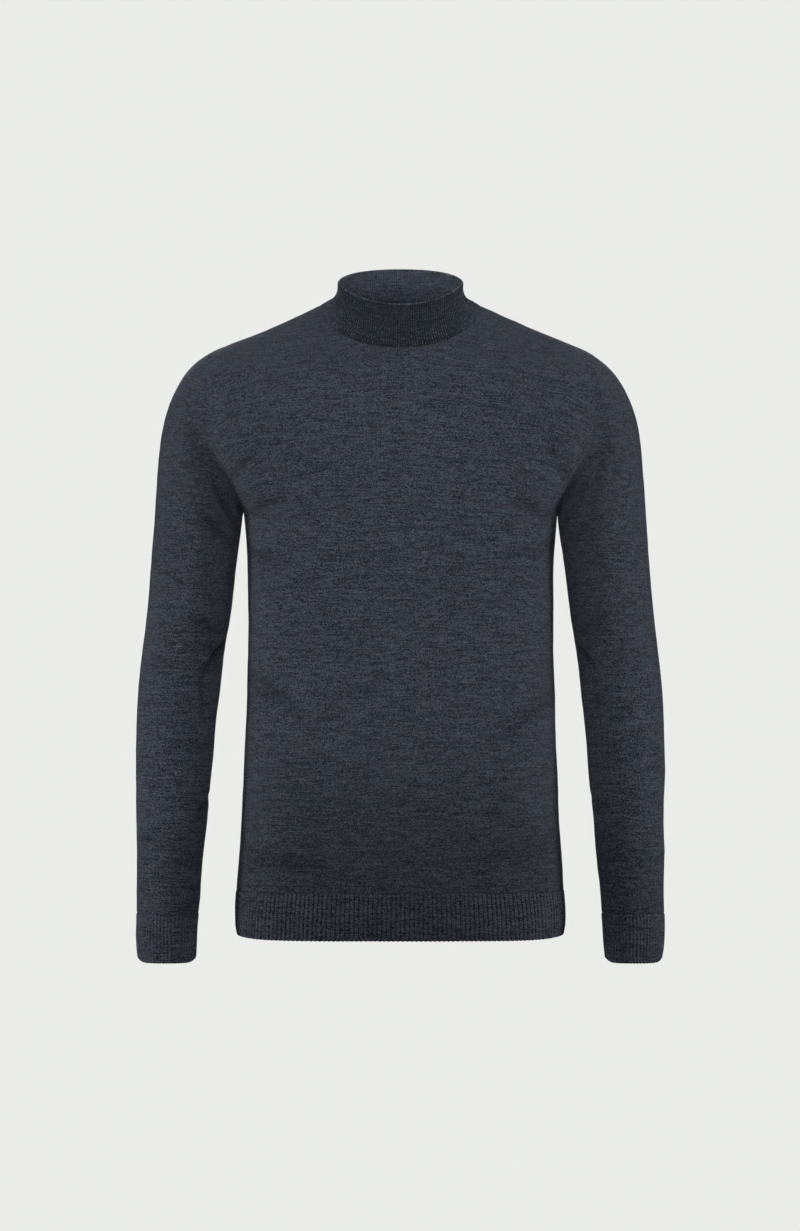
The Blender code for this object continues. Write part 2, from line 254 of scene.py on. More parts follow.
def sleeve_rings(side, turns):
    """Every ring of a sleeve and its cuff, from the armhole down. A turn of 0 is on the outside."""
    rings = [through(ARMHOLE, (SHOULDER_TIP - UNDERARM) * (1 - turns / math.pi), closed=True)]
    for s in SLEEVE_SECTIONS + CUFF_SECTIONS:
        share = (1 + np.cos(turns)) / 2
        x = s.inner_x + (s.outer_x - s.inner_x) * share + s.bow * np.sin(turns) ** 2
        z = s.inner_z + (s.outer_z - s.inner_z) * share
        if s is CUFF_SECTIONS[-1]:
            z = z + CUFF_SIDE_LIFT * np.cos(turns) ** SIDE_LIFT_POWER
        rings.append(np.stack([x, s.middle_y - s.half_depth * np.sin(turns), z], 1))
    return np.array(rings) * (side, 1, 1)


def smoothed_armhole(points, turns):
    """A sleeve at +X whose first rows run on from the body's cloth.

    Under the arm and at the shoulder tip they keep their own way.
    """
    tip = SHOULDER_TIP - UNDERARM
    beside_edge = np.array([0.0, 0.96, 1.0])
    body_way = []
    for place in tip * (1 - turns / math.pi) % (2 * tip):
        face, row = (FRONT, place) if place <= tip else (BACK, 2 * tip - place)
        line = trunk_face(TRUNK, face, [UNDERARM + row], beside_edge)[0][0]
        body_way.append(line[-1] - line[-2])
    ring = points[0]
    round_ring = np.gradient(np.concatenate([ring[-2:-1], ring, ring[1:2]]), axis=0)[1:-1]
    round_ring /= np.linalg.norm(round_ring, axis=1, keepdims=True)
    ways = np.array([body_way, points[len(SEAM_LINES)] - ring])
    ways -= (ways * round_ring).sum(axis=2, keepdims=True) * round_ring
    ways /= np.linalg.norm(ways, axis=2, keepdims=True)
    share = np.interp(ring[:, 2], SMOOTH_HEIGHTS, (0, SMOOTH_SHARE, SMOOTH_SHARE, 0))
    reach = travelled(points)
    swell = share * reach * np.exp(-((reach / SMOOTH_REACH) ** 2))
    return points + swell[..., None] * (ways[0] - ways[1])


def evenly_spaced_rows(make_points, first, last, step, seams=(True, True)):
    """Places between two sections whose rows of points come out evenly spaced."""
    places = np.linspace(first, last, FINE_ROWS)
    reach = travelled(make_points(places)).mean(axis=1)
    return np.interp(mesh_lines(reach[-1], step, *seams), reach, places)


def trunk_rows(sections, face, first, last, step, seams=(True, True)):
    """Evenly spaced rows of the body or the collar, judged at the centre, halfway and the edge."""
    probes = np.array([0.0, 0.5, 1.0])
    return evenly_spaced_rows(
        lambda places: trunk_face(sections, face, places, probes)[0], first, last, step, seams
    )


def near_centre(points):
    """1 at the throat and the nape, and 0 at the sides of the neck."""
    return np.clip(1 - (points[:, :, 0] / PROUD_HALF_WIDTH) ** 4, 0, 1)


# ---- Creases and unevenness ----

# A crease is a soft trough along a path, with a low ridge on each side of it.
Crease = namedtuple("Crease", "depth width path")
BODY_CREASES = [
    # Drag lines that fan from each underarm over the chest and the shoulder blades.
    Crease(2.2, 9, [(-171, -40, -236), (-150, -82, -222), (-120, -102, -204)]),
    Crease(2.0, 9, [(171, -40, -238), (148, -84, -226), (114, -104, -212)]),
    Crease(1.5, 8, [(-185, -55, -196), (-168, -76, -176), (-146, -88, -150)]),
    Crease(1.5, 8, [(185, -55, -196), (166, -78, -172), (148, -88, -144)]),
    Crease(1.7, 11, [(-168, -20, -262), (-150, -70, -276), (-112, -100, -284)]),
    Crease(1.5, 11, [(168, -20, -258), (152, -68, -270), (118, -98, -274)]),
    Crease(2.2, 10, [(171, 40, -236), (150, 78, -224), (112, 100, -204)]),
    Crease(2.2, 10, [(-171, 40, -238), (-148, 80, -222), (-118, 98, -206)]),
    Crease(1.6, 9, [(186, 58, -196), (166, 84, -176), (140, 98, -150)]),
    Crease(1.6, 9, [(-186, 58, -196), (-168, 82, -172), (-146, 96, -142)]),
    # Slack at the waist, on the sides and in the small of the back.
    Crease(1.8, 14, [(-166, -14, -402), (-152, -62, -414), (-108, -92, -440)]),
    Crease(1.6, 14, [(166, -10, -424), (150, -64, -440), (104, -94, -466)]),
    Crease(2.4, 14, [(164, 20, -384), (138, 66, -392), (70, 86, -404)]),
    Crease(2.6, 15, [(-164, 22, -398), (-134, 66, -402), (-62, 86, -410)]),
    Crease(2.0, 15, [(150, 52, -440), (90, 84, -450), (10, 90, -446)]),
    Crease(1.8, 14, [(-150, 54, -446), (-100, 82, -462), (-40, 90, -470)]),
    # Slack above the hem's rib.
    Crease(1.5, 12, [(-172, -40, -590), (-130, -88, -602), (-60, -104, -606)]),
    Crease(1.4, 12, [(172, -36, -578), (138, -84, -592), (74, -102, -600)]),
    Crease(1.8, 12, [(168, 50, -584), (110, 98, -600), (30, 108, -604)]),
    Crease(1.6, 12, [(-170, 44, -592), (-126, 92, -606), (-70, 106, -610)]),
]

# The same on a sleeve, with its paths for the sleeve at +X.
ARM_CREASES = [
    # Under the arm, where the sleeve's cloth gathers against the body.
    Crease(2.8, 7, [(176, -14, -246), (188, -44, -222), (204, -62, -186)]),
    Crease(2.5, 8, [(180, -22, -268), (198, -50, -246), (224, -60, -222)]),
    Crease(3.0, 8, [(180, 26, -246), (192, 48, -226), (212, 64, -198)]),
    Crease(2.4, 8, [(184, 34, -276), (202, 56, -262), (230, 62, -246)]),
    # The bend of the elbow.
    Crease(6.0, 5.0, [(189, 8, -366), (194, -14, -376), (201, -28, -388), (210, -38, -402)]),
    Crease(2.4, 6.0, [(208, -36, -398), (209, -38, -414), (208, -36, -432), (210, -36, -450)]),
    Crease(2.0, 7.0, [(196, -16, -380), (208, -36, -372), (224, -46, -360)]),
    Crease(2.2, 9, [(194, -14, -356), (208, -38, -350), (232, -50, -338)]),
    Crease(2.4, 9, [(196, 26, -384), (214, 50, -372), (240, 58, -350)]),
    Crease(2.0, 9, [(200, 30, -404), (222, 48, -402), (250, 46, -392)]),
    # Slack down the forearm and above the cuff.
    Crease(1.5, 10, [(206, -8, -470), (224, -40, -480), (258, -40, -474)]),
    Crease(2.8, 5.0, [(206, 4, -532), (211, -22, -540), (217, -34, -550), (224, -41, -562)]),
    Crease(1.6, 8, [(214, -22, -606), (234, -54, -602), (262, -52, -610)]),
    Crease(1.5, 8, [(216, -6, -616), (240, 12, -606), (270, 2, -612)]),
    Crease(1.3, 8, [(284, -14, -586), (270, -46, -578), (240, -52, -584)]),
]

# The left sleeve's creases are this much of the right one's.
LEFT_ARM_DEPTH = 0.45

# A crease's path is drawn near the cloth, and is moved onto it from up to this far away. Its ridges
# are lower for a smaller RIDGE, it dies away sooner beside its path for a larger FALL, and it comes
# up more slowly from the path's ends for a larger RUN_IN.
FARTHEST_LAID = 22.0
PATH_POINTS = 13
RIDGE = 0.75
FALL = 0.8
RUN_IN = 0.8

# The cloth's unevenness, as slow waves and small differences in tension: length, height and seed.
# Each is made of this many waves, whose lengths are spread between these shares of that length.
SLOW_WAVES = 75.0, 0.55, 3
TENSION_WAVES = 17.0, 0.10, 5
WAVE_COUNT = 16
WAVE_SPREAD = 0.7, 1.5


def laid_on(surface, path):
    """A path moved onto the nearest points of a surface, where that is near."""
    gaps = np.linalg.norm(surface[None] - path[:, None], axis=2)
    near = gaps.min(axis=1, keepdims=True) < FARTHEST_LAID
    return np.where(near, surface[gaps.argmin(axis=1)], path)


def crease_push(points, creases, surface):
    """How far creases push each point outwards. Troughs are negative."""
    push = np.zeros(len(points))
    for crease in creases:
        path = through(crease.path, np.linspace(0, len(crease.path) - 1, PATH_POINTS))
        path = laid_on(surface, path)
        reach = travelled(path)
        gap = np.full(len(points), np.inf)
        place = np.zeros(len(points))
        for a, b, start, end in zip(path, path[1:], reach, reach[1:]):
            if end == start:
                continue
            share = np.clip((points - a) @ (b - a) / ((b - a) @ (b - a)), 0, 1)
            away = np.linalg.norm(points - a - share[:, None] * (b - a), axis=1)
            place = np.where(away < gap, (start + share * (end - start)) / reach[-1], place)
            gap = np.minimum(gap, away)
        spread = (gap / crease.width) ** 2
        fade = np.sin(math.pi * place) ** RUN_IN
        push -= crease.depth * fade * (1 - RIDGE * spread) * np.exp(-FALL * spread)
    return push


def waves(points, length, seed):
    """Smooth unevenness of about this wave length, from -1 to 1 or a little more."""
    rng = np.random.default_rng(seed)
    ways = rng.normal(size=(WAVE_COUNT, 3))
    ways /= np.linalg.norm(ways, axis=1, keepdims=True)
    ways *= 2 * math.pi / (length * rng.uniform(*WAVE_SPREAD, (WAVE_COUNT, 1)))
    swell = np.cos(points @ ways.T + rng.uniform(0, 2 * math.pi, WAVE_COUNT))
    return swell.sum(1) / math.sqrt(WAVE_COUNT)


def uneven_push(points, creases, *beside):
    """The push of creases and unevenness on a grid of points, and how deep in a crease each is.

    beside holds points of the cloth that the creases run on to.
    """
    flat = points.reshape(-1, 3)
    push = crease_push(flat, creases, np.concatenate([flat, *beside]))
    fold = np.clip(-push / FULL_FOLD, 0, 1)
    for length, height, seed in (SLOW_WAVES, TENSION_WAVES):
        push += height * waves(flat, length, seed)
    return push.reshape(points.shape[:-1]), fold.reshape(points.shape[:-1])


# ---- Cloth meshes ----

KNIT_MAP = "knit"
# Point attributes: 0 on the cloth's outer side, 1 on its inner side and up to 2 deep inside the
# neck, where shade is painted darker deeper down; how closed the ribs are, from 0 where they are
# pulled open to 1; and how deep in a crease the cloth is, from 0 to 1, where shade is painted
# darker in the crease. FULL_FOLD is the depth in millimetres that counts as 1.
INNER_SIDE = "inner_side"
RIB_SHARE = "rib_share"
CREASE_SHADE = "fold"
FULL_FOLD = 4.0
EDGE_STEPS = 4
SHARP_ANGLE = 65


def grid_normals(points, loop, outward):
    """Unit normals of a grid of points. outward is 1 or -1."""
    if loop:
        wide = np.concatenate([points[:, -2:-1], points, points[:, 1:2]], axis=1)
        along_row = np.gradient(wide, axis=1)[:, 1:-1]
    else:
        along_row = np.gradient(points, axis=1)
    normals = np.cross(along_row, np.gradient(points, axis=0)) * outward
    return normals / np.linalg.norm(normals, axis=2, keepdims=True)


def turned_edge(first, last, outer_rows):
    """Rows that round off a free edge, from one side's end row to the other's.

    outer_rows are the outer side's end row and the row next to it.
    """
    beyond = outer_rows[0] - outer_rows[1]
    beyond /= np.linalg.norm(beyond, axis=1, keepdims=True)
    middle, half = (first + last) / 2, (first - last) / 2
    radius = np.linalg.norm(half, axis=1, keepdims=True)
    turns = np.linspace(0, math.pi, EDGE_STEPS + 2)[1:-1]
    return [middle + half * math.cos(t) + beyond * radius * math.sin(t) for t in turns]


def cloth(
    name,
    outer,
    inner,
    knit,
    fold,
    loop=False,
    free_start=False,
    free_end=False,
    flip=False,
    neck_shade_depth=None,
    rib_share=None,
):
    """A closed wall of cloth between two grids of points, in millimetres.

    knit holds each point's place on the knitted piece, across it and along it, and fold how deep
    it is in a crease, for the shade painted there. A loop's last column repeats its first. A free
    edge is rounded, and any other edge is a seam's. neck_shade_depth says for each row how far it
    is down the neck's opening, for the shade painted there, and rib_share how closed each point's
    ribs are.
    """
    far_edge = turned_edge(outer[-1], inner[-1], outer[:-3:-1]) if free_end else []
    near_edge = turned_edge(inner[0], outer[0], outer[:2]) if free_start else []

    def all_round(grid):
        """A grid's values on the outer side, the far edge, the inner side and the near edge."""
        far, near = [grid[-1]] * len(far_edge), [grid[0]] * len(near_edge)
        return np.array([*grid, *far, *grid[::-1], *near])

    rows = np.array([*outer, *far_edge, *inner[::-1], *near_edge])
    places = all_round(knit)
    far_turn = len(outer) + len(far_edge)
    inward = np.full(len(rows), 0.5)
    inward[: len(outer)] = 0.0
    inward[far_turn : far_turn + len(inner)] = 1.0
    if neck_shade_depth is not None:
        inward[far_turn : far_turn + len(inner)] += neck_shade_depth[::-1]
    if rib_share is None:
        rib_share = np.ones(outer.shape[:2])
    height, width = rows.shape[:2]
    columns = width - 1 if loop else width
    index = np.arange(height * columns).reshape(height, columns)
    if loop:
        index = np.concatenate([index, index[:, :1]], axis=1)
    below, above = np.arange(height), (np.arange(height) + 1) % height
    corners = [
        (below[:, None], np.arange(width - 1)),
        (below[:, None], np.arange(1, width)),
        (above[:, None], np.arange(1, width)),
        (above[:, None], np.arange(width - 1)),
    ]
    faces = np.stack([index[c] for c in corners], 2).reshape(-1, 4)
    maps = np.stack([places[c] for c in corners], 2).reshape(-1, 4, 2)
    if not loop:
        # Close the two side edges, between each outer row and the inner row behind it.
        last = len(outer) - 1
        pairs = [(k, far_turn + last - k) for k in range(last + 1)]
        for column, turned in ((0, False), (width - 1, True)):
            for (a, b), (c, d) in zip(pairs, pairs[1:]):
                side = [(a, column), (c, column), (d, column), (b, column)]
                side = side[::-1] if turned else side
                faces = np.concatenate([faces, [[index[s] for s in side]]])
                maps = np.concatenate([maps, [[places[s] for s in side]]])
    if flip:
        faces, maps = faces[:, ::-1], maps[:, ::-1]
    mesh = bpy.data.meshes.new(name)
    mesh.from_pydata((rows[:, :columns].reshape(-1, 3) * MM).tolist(), [], faces.tolist())
    if not loop:
        close_corners(mesh)
    layer = mesh.uv_layers.new(name=KNIT_MAP)
    corners_uv = np.zeros((len(mesh.loops), 2), np.float32)
    corners_uv[: maps.size // 2] = maps.reshape(-1, 2) * MM
    layer.uv.foreach_set("vector", corners_uv.ravel())
    marks = {
        INNER_SIDE: np.repeat(inward, columns),
        RIB_SHARE: all_round(rib_share)[:, :columns].ravel(),
        CREASE_SHADE: all_round(fold)[:, :columns].ravel(),
    }
    for mark, values in marks.items():
        attribute = mesh.attributes.new(mark, "FLOAT", "POINT")
        attribute.data.foreach_set("value", values.astype(np.float32))
    mesh.shade_smooth()
    mesh.set_sharp_from_angle(angle=math.radians(SHARP_ANGLE))
    obj = bpy.data.objects.new(name, mesh)
    bpy.context.scene.collection.objects.link(obj)
    return obj


def close_corners(mesh):
    """Fills the small gaps that a rounded free edge leaves at its two ends."""
    form = bmesh.new()
    form.from_mesh(mesh)
    bmesh.ops.holes_fill(form, edges=[e for e in form.edges if e.is_boundary], sides=0)
    form.to_mesh(mesh)
    form.free()


def groove(distances):
    """How deep the surface lies at these distances from a seam."""
    return GROOVE_DEPTH * np.exp(-((distances / GROOVE_WIDTH) ** 2))


def walled(points, normals, push, thickness, outer_extra=0.0, inner_extra=0.0):
    """The outer and the inner grid of a cloth. Both extras push outwards."""
    lift = (push + outer_extra)[..., None]
    drop = (push + inner_extra - thickness)[..., None]
    return points + normals * lift, points + normals * drop


# ---- Front, back and sleeves in plain knit ----

# Gaps between the mesh's lines, and half of the way round the front.
PANEL_STEP = 3.2
HALF_CHEST = 225.0


def panel(name, face, offset):
    """The front or the back of the body."""
    across = mesh_lines(HALF_CHEST, PANEL_STEP, seam_at_start=False) / HALF_CHEST
    rows = trunk_rows(TRUNK, face, RIB_TOP, NECK, PANEL_STEP)
    points, from_centre = trunk_face(TRUNK, face, rows, across)
    normals = grid_normals(points, False, -face)
    other = trunk_face(TRUNK, -face, rows, across)[0]
    other_normals = grid_normals(other, False, face)
    joined = (rows <= UNDERARM) | (rows >= SHOULDER_TIP)
    for column in (0, -1):
        shared = normals[joined, column] + other_normals[joined, column]
        normals[joined, column] = shared / np.linalg.norm(shared, axis=1, keepdims=True)
    push, fold = uneven_push(points, BODY_CREASES, other.reshape(-1, 3))
    along = travelled(points)
    edge = np.abs(from_centre[:, -1:]) - np.abs(from_centre)
    on_armhole = (rows > UNDERARM) & (rows < SHOULDER_TIP)
    dip = groove(edge + SEAM_LINES[0]) * np.where(on_armhole, FLAT_SEAM, 1.0)[:, None]
    dip += groove(along + SEAM_LINES[0])
    neck_share = NECK_GROOVE + PANEL_GROOVE_ADDED * near_centre(points)
    dip += neck_share * groove(along[-1:] - along + SEAM_LINES[0])
    outer, inner = walled(points, normals, push, PLAIN_KNIT, -dip)
    knit = np.stack([from_centre + offset, along + offset], 2)
    return cloth(name, outer, inner, knit, fold, flip=face == BACK)


SLEEVE_STEP = 2.4
SLEEVE_COLUMNS = 152
# The seam under the arm, against the others' grooves: how wide it is, and how deep.
SLEEVE_SEAM_WIDTH = 1.6
UNDERARM_GROOVE = 0.6


def arm_creases(side):
    """A sleeve's creases, which are shallower on the left one."""
    share = LEFT_ARM_DEPTH if side == LEFT else 1.0
    return [
        Crease(c.depth * share, c.width, [(x * side, y, z) for x, y, z in c.path])
        for c in ARM_CREASES
    ]


def sleeve(name, side, offset):
    """A sleeve from the armhole to the cuff, with its seam under the arm."""
    turns = np.linspace(0, 2 * math.pi, SLEEVE_COLUMNS + 1) + math.pi
    rings = sleeve_rings(LEFT, turns)
    quarter = SLEEVE_COLUMNS // 4
    places = evenly_spaced_rows(
        lambda at: through(rings, at)[:, quarter::quarter], 0, CUFF_TOP, SLEEVE_STEP
    )
    points = smoothed_armhole(through(rings, places), turns) * (side, 1, 1)
    normals = grid_normals(points, True, side)
    push, fold = uneven_push(points, arm_creases(side))
    along = travelled(points[::-1])[::-1]
    around = travelled(points, axis=1)
    from_seam = np.minimum(around, around[:, -1:] - around)
    dip = FLAT_SEAM * groove(along[:1] - along + SEAM_LINES[0])
    dip += groove(along + SEAM_LINES[0])
    dip += UNDERARM_GROOVE * groove(from_seam / SLEEVE_SEAM_WIDTH)
    outer, inner = walled(points, normals, push, PLAIN_KNIT, -dip)
    knit = np.stack([around + offset, along + offset], 2)
    return cloth(name, outer, inner, knit, fold, loop=True, flip=side == LEFT)


# ---- Ribs of the hem, the cuffs and the collar ----

# count is the number of ribs round the whole piece, and height is from a rib's valley to its top.
# rows_step is the gap between the mesh's rows, and columns_each its columns on each rib.
Rib = namedtuple("Rib", "count height rows_step columns_each")
HEM_RIB = Rib(196, 0.9, 4.0, 6)
CUFF_RIB = Rib(54, 0.8, 3.6, 6)
COLLAR_RIB = Rib(164, 0.75, 3.0, 6)
# How much of the ribs shows on the inner side, how much of them stands out from the cloth's middle,
# and how rounded their tops are.
INNER_RIB_SHARE = 0.6
RIB_TOP_SHARE = 0.6
RIB_ROUNDNESS = 2.2
# How far the collar stands proud of its seam at the centre, and how high up that reaches.
PROUD_STEP = 1.0
PROUD_STEP_HEIGHT = 7.0
# How high the collar's ribs are pulled open at the sides, and how much of them is lost there.
OPEN_RIB_HEIGHT = 26.0
OPEN_RIB_LOSS = 0.85
# The height between the collar's last two sections, taken once for its whole top edge.
COLLAR_END_GAP = 12.0


def rib_form(phase, height):
    """A rib's rounded top and narrow valley, for a phase that grows by 1 from rib to rib."""
    return height * (RIB_TOP_SHARE - np.abs(2 * (phase % 1) - 1) ** RIB_ROUNDNESS)


def rounded_end(thickness, section_gap):
    """How much of a section's step a free edge's rounding takes up."""
    return thickness / 2 / section_gap


def hem_rib(name, face, offset):
    """The front or the back of the hem's rib."""
    per_panel = HEM_RIB.count // 2
    half = per_panel // 2
    across = np.linspace(0, 1, half * HEM_RIB.columns_each + 1)
    rows = trunk_rows(TRUNK, face, 0, RIB_TOP, HEM_RIB.rows_step, (False, True))
    rows[0] = rounded_end(RIB_KNIT, HEM_SECTIONS[1].edge_z - HEM_SECTIONS[0].edge_z)
    points = trunk_face(TRUNK, face, rows, across)[0]
    normals = grid_normals(points, False, -face)
    normals[:, [0, -1], 1] = 0
    normals /= np.linalg.norm(normals, axis=2, keepdims=True)
    phase = np.concatenate([-across[:0:-1], across]) * half
    ribs = rib_form(phase, HEM_RIB.height)
    push, fold = uneven_push(points, BODY_CREASES)
    along = travelled(points)
    dip = groove(along[-1:] - along + SEAM_LINES[0])
    outer, inner = walled(points, normals, push, RIB_KNIT, ribs - dip, -INNER_RIB_SHARE * ribs)
    knit = np.stack([np.broadcast_to(phase, along.shape), along + offset], 2)
    return cloth(name, outer, inner, knit, fold, free_start=True, flip=face == BACK)


def cuff(name, side, offset):
    """The ribbed tube at a wrist."""
    columns = CUFF_RIB.count * CUFF_RIB.columns_each
    turns = np.linspace(0, 2 * math.pi, columns + 1) + math.pi
    rings = sleeve_rings(side, turns)
    places = evenly_spaced_rows(
        lambda at: through(rings, at)[:, :: columns // 4],
        CUFF_TOP,
        CUFF_END,
        CUFF_RIB.rows_step,
        (True, False),
    )
    places[-1] -= rounded_end(RIB_KNIT, CUFF_SECTIONS[-2].outer_z - CUFF_SECTIONS[-1].outer_z)
    points = through(rings, places)
    normals = grid_normals(points, True, side)
    phase = np.linspace(0, CUFF_RIB.count, columns + 1)
    ribs = rib_form(phase, CUFF_RIB.height)
    push, fold = uneven_push(points, arm_creases(side))
    along = travelled(points)
    dip = groove(along + SEAM_LINES[0])
    outer, inner = walled(points, normals, push, RIB_KNIT, ribs - dip, -INNER_RIB_SHARE * ribs)
    knit = np.stack([np.broadcast_to(phase, along.shape), along + offset], 2)
    return cloth(name, outer, inner, knit, fold, loop=True, free_end=True, flip=side == LEFT)


def collar(name, offset):
    """The standing collar, as one tube of doubled rib."""
    sections = [NECK_SECTION, *COLLAR_SECTIONS]
    quarter = COLLAR_RIB.count * COLLAR_RIB.columns_each // 4
    across = np.linspace(0, 1, quarter + 1)
    top = len(COLLAR_SECTIONS)
    rows = trunk_rows(sections, FRONT, 0, top, COLLAR_RIB.rows_step, (True, False))
    rows[-1] -= rounded_end(DOUBLE_RIB, COLLAR_END_GAP)
    front = trunk_face(sections, FRONT, rows, across)[0]
    back = trunk_face(sections, BACK, rows, across)[0]
    points = np.concatenate([front, back[:, -2::-1]], axis=1)
    normals = grid_normals(points, True, 1)
    phase = np.arange(points.shape[1]) / COLLAR_RIB.columns_each
    push, fold = uneven_push(points, [])
    along = travelled(points)
    # At the throat and the nape the collar stands proud of the seam. At the sides its ribs are
    # pulled open over the shoulders, and it runs on smoothly from them.
    middle = near_centre(points)
    from_seam = along / OPEN_RIB_HEIGHT
    rib_share = 1 - OPEN_RIB_LOSS * (1 - middle) * np.exp(-(from_seam**2))
    ribs = rib_form(phase, COLLAR_RIB.height) * rib_share
    proud = PROUD_STEP * middle * np.exp(-((along / PROUD_STEP_HEIGHT) ** 2))
    dip = groove(along + SEAM_LINES[0]) * (NECK_GROOVE + COLLAR_GROOVE_ADDED * middle)
    outer, inner = walled(
        points, normals, push, DOUBLE_RIB, ribs + proud - dip, -INNER_RIB_SHARE * ribs
    )
    knit = np.stack([np.broadcast_to(phase, along.shape), along + offset], 2)
    # How far down the neck each row is, for the shade painted inside it.
    neck_shade_depth = 1 - (along / along[-1:]).mean(axis=1)
    return cloth(
        name,
        outer,
        inner,
        knit,
        fold,
        loop=True,
        free_end=True,
        neck_shade_depth=neck_shade_depth,
        rib_share=rib_share,
    )


# ---- Shaders ----


class Socket:
    """A shader node's output that Python's operators can be used on."""

    def __init__(self, shader, socket):
        self.shader, self.socket = shader, socket

    def maths(self, operation, *values):
        return self.shader.node("ShaderNodeMath", {"operation": operation}, dict(enumerate(values)))

    def __add__(self, other):
        return self.maths("ADD", self, other)

    def __sub__(self, other):
        return self.maths("SUBTRACT", self, other)

    def __rsub__(self, other):
        return self.maths("SUBTRACT", other, self)

    def __mul__(self, other):
        return self.maths("MULTIPLY", self, other)

    def __truediv__(self, other):
        return self.maths("DIVIDE", self, other)

    def __pow__(self, other):
        return self.maths("POWER", self, other)

    __radd__, __rmul__ = __add__, __mul__


class Shader:
    """A material or world whose nodes are made one call at a time."""

    def __init__(self, owner):
        owner.use_nodes = True
        self.tree = owner.node_tree
        self.tree.nodes.clear()

    def node(self, kind, settings=None, sockets=None, out=0):
        """Adds a node, sets its settings first and then its sockets, and returns one output."""
        made = self.tree.nodes.new(kind)
        for key, value in (settings or {}).items():
            if key == "stops":
                ramp = made.color_ramp
                while len(ramp.elements) < len(value):
                    ramp.elements.new(0.5)
                for element, (position, colour) in zip(ramp.elements, value):
                    element.position, element.color = position, (*colour, 1.0)
            else:
                setattr(made, key, value)
        for key, value in (sockets or {}).items():
            if isinstance(value, Socket):
                self.tree.links.new(value.socket, made.inputs[key])
            else:
                made.inputs[key].default_value = value
        return Socket(self, made.outputs[out]) if len(made.outputs) else None


# Heather yarn: the dark, middle and light fibres that are carded together, as linear colours.
DARK_FIBRE = (0.0042, 0.0064, 0.0120)
MIDDLE_FIBRE = (0.0254, 0.0314, 0.0460)
LIGHT_FIBRE = (0.0900, 0.1010, 0.1290)
FIBRE_STOPS = 0.05, 0.50, 1.0
# Stitches: their width, and their height on plain knit and on a rib. Their legs slant by this share
# of that height, and this share of a loop is rounded.
WALE = 1.7 * MM
COURSE = 1.28 * MM
RIB_COURSE = 1.25 * MM
LEG_SLANT = 0.6
LOOP_ROUNDNESS = 0.65
# A tuft of fibres of one colour, across the piece and along it.
FIBRE_TUFT = 0.80 * MM, 0.62 * MM
# Runs of one shade along a row of stitches, short and long, and how much further on in the noise
# each row's are taken than those of the row below.
RUN = 16 * MM
LONG_RUN = 36 * MM
RUN_STEP = 3.7 * MM
LONG_RUN_STEP = 2.9 * MM
# Clouds of one shade, and patches of one dye lot, across the piece and along it.
CLOUD = 30 * MM, 9 * MM
DYE_PATCH = 34 * MM, 13 * MM
# Where across the noise the long runs and the dye lots start, so that they don't follow the rest.
LONG_RUN_START = 310 * MM
DYE_START = 700 * MM
# How far each of these, and a stitch's height, moves the mix of fibres.
TUFT_SHARE, RUN_SHARE, LONG_RUN_SHARE, CLOUD_SHARE, STITCH_SHARE = 1.12, 0.72, 0.55, 0.15, 0.15
MEAN_HEIGHT = 0.4
# Painted shade at the bottom of a crease, as how much darker the mix is there, and a painted
# highlight on a rounded edge, as how much paler the mix is there.
FOLD_SHADE = 0.5
EDGE_HIGHLIGHT = 0.04
# How narrow the painted shade in the valleys between ribs is, and how much of it is lost on the
# inner side and round a free edge.
VALLEY_NARROWNESS = 1.5
INNER_VALLEY_LOSS = 0.85
EDGE_VALLEY_LOSS = 0.8
# How far stitches and single fibres stand out, as shares of the relief.
STITCH_RELIEF = 0.8
FIBRE_RELIEF = 0.8
RELIEF = 0.6 * MM
RELIEF_STRENGTH = 0.6
# Some of the wool was dyed a little greener and some a little redder than the rest.
GREENER = (0.95, 1.01, 1.02)
REDDER = (1.04, 0.99, 0.985)
DYE_STOPS = 0.36, 0.64
# On a rib the map's first number counts ribs, so that stitches stand on the ribs.
RIB_WIDTH_IN_MAP = 1.0 * MM
TYPICAL_RIB = 3.4 * MM


def noise(shader, u, v, across, along, detail=2.0, roughness=0.55):
    """Noise whose grains are this long across the piece and along it, in metres."""
    place = shader.node("ShaderNodeCombineXYZ", {}, {"X": u / across, "Y": v / along})
    return shader.node(
        "ShaderNodeTexNoise",
        {"noise_dimensions": "2D"},
        {"Vector": place, "Scale": 1.0, "Detail": detail, "Roughness": roughness},
    )


